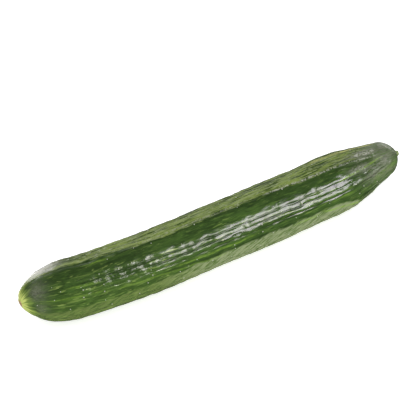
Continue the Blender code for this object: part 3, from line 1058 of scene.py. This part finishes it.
stem_bm = bmesh.new()
bmesh.ops.create_uvsphere(stem_bm, u_segments=STEM_SEGMENTS, v_segments=len(outline) + 1, radius=1.0)
cut_layer = stem_bm.verts.layers.float.new("cut")
for vertex in stem_bm.verts:
    ring, is_pole = ring_of(vertex, len(outline))
    height, share, flare, ribbed = outline[ring]
    turn = math.atan2(vertex.co.y, vertex.co.x)
    rib = STEM_RIB_HEIGHT * ribbed * math.cos(STEM_RIBS * turn)
    out = 0.0 if is_pole else STEM_RADIUS * share + STEM_FLARE * flare + rib
    slope = STEM_CUT_SLOPE * smoothstep((height - mouth_height) / STEM_STANDS_OUT)
    upward, sideways = out * math.cos(turn), out * math.sin(turn)
    climb = height + slope * upward
    place = stem_foot + upward * UP + sideways * stem_outward + climb * stem_along
    vertex.co = place + max(0.0, climb - mouth_height) * stem_lean
    vertex[cut_layer] = out / STEM_RADIUS if ring > len(outline) / 2 else 1.0
stem = finish_piece("stem_stub", stem_bm)
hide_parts("stem")

stalk_material, stalk, stalk_shader = new_material("cut_green_stalk")
stalk_where = stalk.node("ShaderNodeTexCoord").outputs["Object"]
from_middle = stalk.attribute("cut")
stalk_threads = stalk.pattern(stalk_where, STALK_THREADS)
stalk_colour = stalk.blend(stalk.fade(stalk_threads, *STALK_THREADS_FADE), STALK_GREEN, STALK_PALE)
pith = stalk.blend(stalk.fade(from_middle, *PITH_BORDER), CUT_PALE, CUT_RING)
stalk_colour = stalk.blend(stalk.fade(from_middle, *CUT_BORDER), stalk_colour, pith)
stalk.tree.links.new(stalk_colour, stalk_shader.inputs["Base Color"])
stalk.tree.links.new(stalk.bump(stalk_threads, STALK_RELIEF), stalk_shader.inputs["Normal"])
stalk_shader.inputs["Roughness"].default_value = STALK_ROUGHNESS
stem.data.materials.append(stalk_material)

# The table and the light
# The cucumber lies on a plain white table. A tall softbox at the front right, with a warm strip beside it,
# draws the broken shine along the ribs. Panels farther round light the upper edge and the two ends, and a
# key light and a wide overhead light fill in without a shine.
TABLE_SIZE = 12.0
TABLE_DROP = 0.0001
TABLE_WHITE = (240, 240, 240)
TABLE_ROUGHNESS = 0.9
TABLE_GLOW = 0.72
ROOM_LIGHT = 0.50
ROOM_SHINE = 0.05
WHITE = (1.0, 1.0, 1.0)
SOFTBOX_TINT = (0.96, 0.87, 1.0)
WARM_TINT = (1.0, 0.98, 0.76)
ROSY_TINT = (1.0, 0.96, 1.0)

table_bm = bmesh.new()
bmesh.ops.create_grid(table_bm, x_segments=1, y_segments=1, size=TABLE_SIZE / 2)
bmesh.ops.translate(table_bm, verts=table_bm.verts, vec=(0.0, 0.0, -TABLE_DROP))
table_mesh = bpy.data.meshes.new("table")
table_bm.to_mesh(table_mesh)
table_bm.free()
table = bpy.data.objects.new("table", table_mesh)
bpy.context.scene.collection.objects.link(table)
table.visible_glossy = False
table_material, _, table_shader = new_material("table_white")
table_shader.inputs["Base Color"].default_value = paint(TABLE_WHITE)
table_shader.inputs["Roughness"].default_value = TABLE_ROUGHNESS
table_shader.inputs["Specular IOR Level"].default_value = 0.0
table_shader.inputs["Emission Color"].default_value = (*WHITE, 1.0)
table_shader.inputs["Emission Strength"].default_value = TABLE_GLOW
table_mesh.materials.append(table_material)


def add_light(name, place, size, brightness, tint=WHITE, shines=True, fills=True):
    """An even rectangular light that faces the cucumber. Brightness is how bright its face is.

    Its place is an azimuth and an elevation in degrees and a distance. A light that doesn't shine is not
    mirrored in the skin, and one that doesn't fill is only mirrored there.
    """
    azimuth, elevation, distance = place
    width, height = size
    data = bpy.data.lights.new(name, "AREA")
    data.shape = "RECTANGLE"
    data.size, data.size_y = width, height
    data.energy = brightness * math.pi * width * height
    data.color = tint
    light = bpy.data.objects.new(name, data)
    back = toward(math.radians(azimuth), math.radians(elevation))
    light.location = distance * back
    light.rotation_mode = "QUATERNION"
    light.rotation_quaternion = back.to_track_quat("Z", "Y")
    light.visible_camera = False
    light.visible_glossy = shines
    light.visible_diffuse = fills
    bpy.context.scene.collection.objects.link(light)


add_light("softbox", (33.8, 34.0, 1.6), (0.78, 1.2), brightness=13.0, tint=SOFTBOX_TINT, fills=False)
add_light("softbox_strip", (17.2, 34.0, 1.6), (0.155, 1.2), brightness=12.0, tint=WARM_TINT, fills=False)
add_light("back_panel", (168.0, 27.0, 2.0), (1.6, 1.4), brightness=0.5, fills=False)
add_light("end_panel", (194.0, 0.0, 2.0), (0.9, 2.8), brightness=4.5, tint=ROSY_TINT, fills=False)
add_light("side_panel", (130.0, 6.0, 2.0), (1.1, 0.8), brightness=2.6, fills=False)
add_light("key", (10.0, 40.0, 2.0), (1.5, 1.5), brightness=1.2, shines=False)
add_light("overhead", (0.0, 90.0, 2.0), (2.0, 2.0), brightness=0.9, shines=False)

world = bpy.data.worlds.new("studio")
world.use_nodes = True
room = Finish(world.node_tree)
sky = world.node_tree.nodes["Background"]
is_mirrored = room.node("ShaderNodeLightPath").outputs["Is Glossy Ray"]
level = room.between(is_mirrored, ROOM_LIGHT, ROOM_SHINE)
room.tree.links.new(level, sky.inputs["Strength"])
sky.inputs["Color"].default_value = (*WHITE, 1.0)
bpy.context.scene.world = world
bpy.context.scene.view_settings.view_transform = "Standard"
